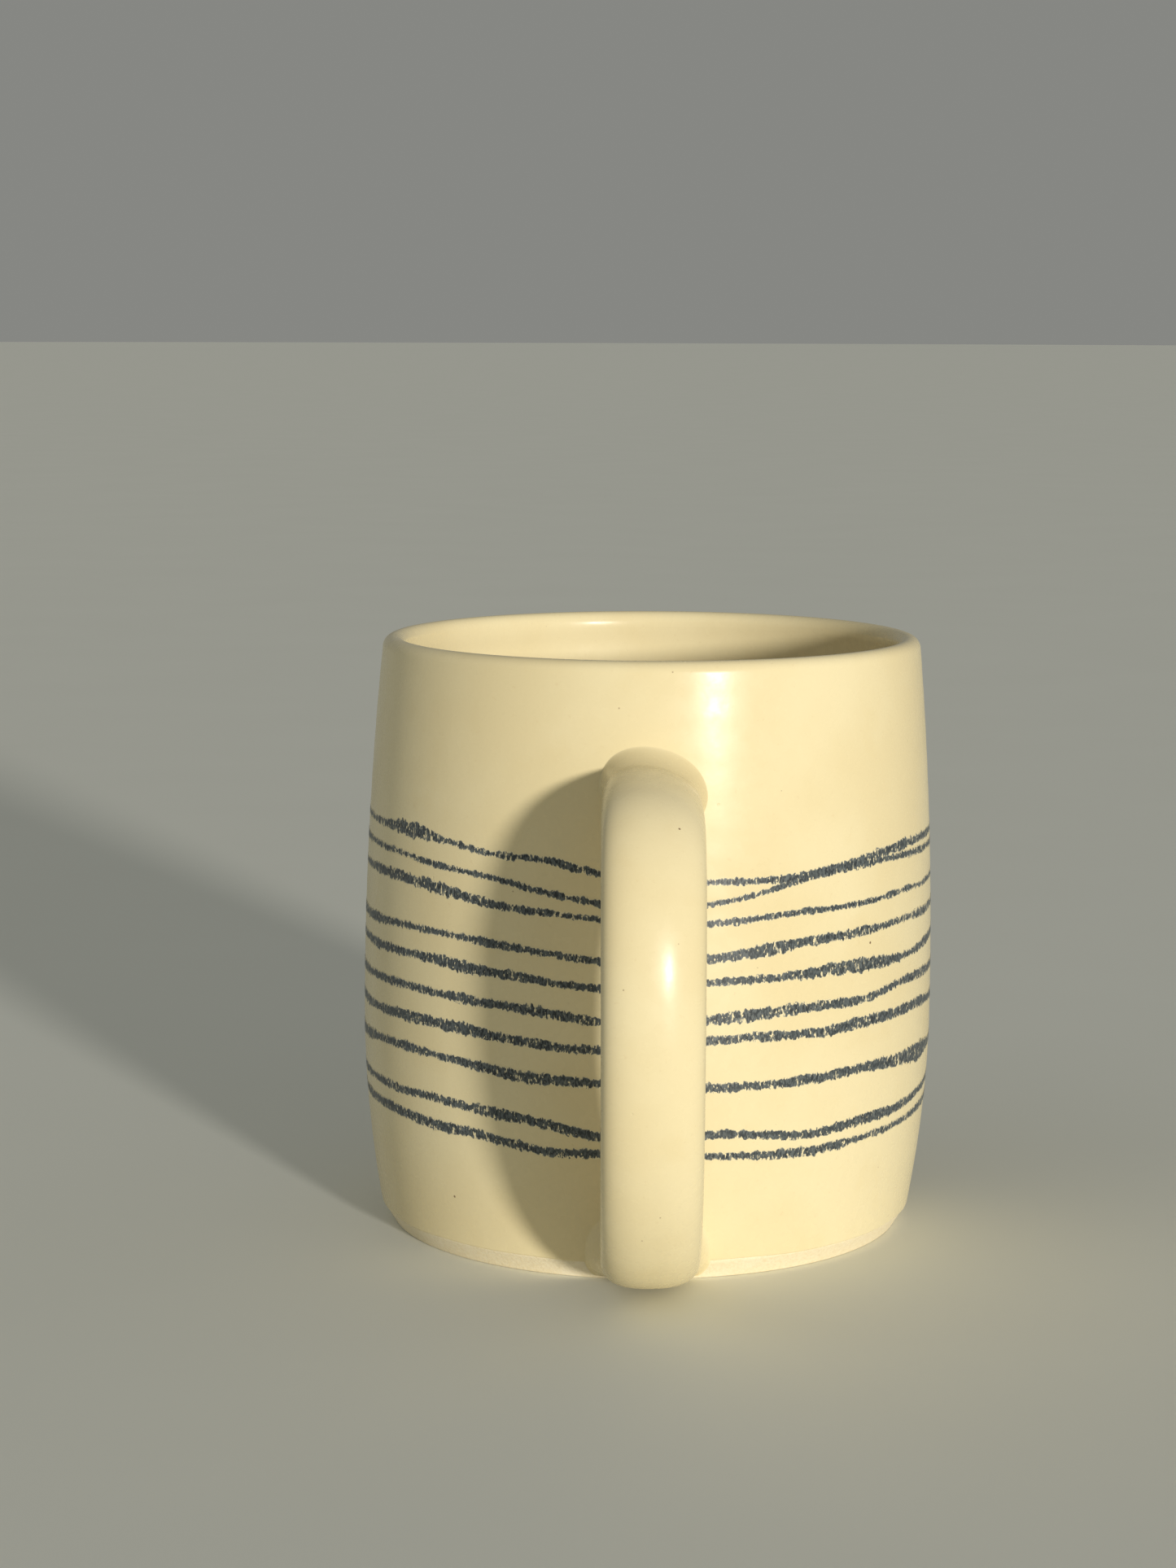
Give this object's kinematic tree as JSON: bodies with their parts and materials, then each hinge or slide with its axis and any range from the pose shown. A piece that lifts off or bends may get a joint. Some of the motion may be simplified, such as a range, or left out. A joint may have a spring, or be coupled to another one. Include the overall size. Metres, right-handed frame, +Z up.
{
  "type": "ceramic mug",
  "caption": "Barrel-shaped studio mug with a pulled strap handle, a round lip, a bare bevelled foot and hand-drawn lines round the belly.",
  "frame": {"origin": "middle of the flat base on which the mug stands, on the cup's own axis", "axes": "+Z up along the cup's axis, -Y towards the handle, +X to the right when the handle points at the viewer"},
  "size_m": [0.0896, 0.1233, 0.092],
  "materials": {
    "satin_glaze": "satin cream glaze over pale stoneware, with fine specks",
    "underglaze_pigment": "chalky blue-grey underglaze pencil under the satin glaze",
    "bare_clay": "unglazed pale stoneware, fine grained and matt"
  },
  "bodies": {
    "root": {"cup_body": "satin_glaze", "handle": "satin_glaze", "upper_slip_joint": "satin_glaze", "lower_slip_joint": "satin_glaze", "underglaze_line_01": "underglaze_pigment", "underglaze_line_02": "underglaze_pigment", "underglaze_line_03": "underglaze_pigment", "underglaze_line_04": "underglaze_pigment", "underglaze_line_05": "underglaze_pigment", "underglaze_line_06": "underglaze_pigment", "underglaze_line_07": "underglaze_pigment", "underglaze_line_08": "underglaze_pigment", "underglaze_line_09": "underglaze_pigment", "underglaze_line_10": "underglaze_pigment"}
  },
  "joints": []
}
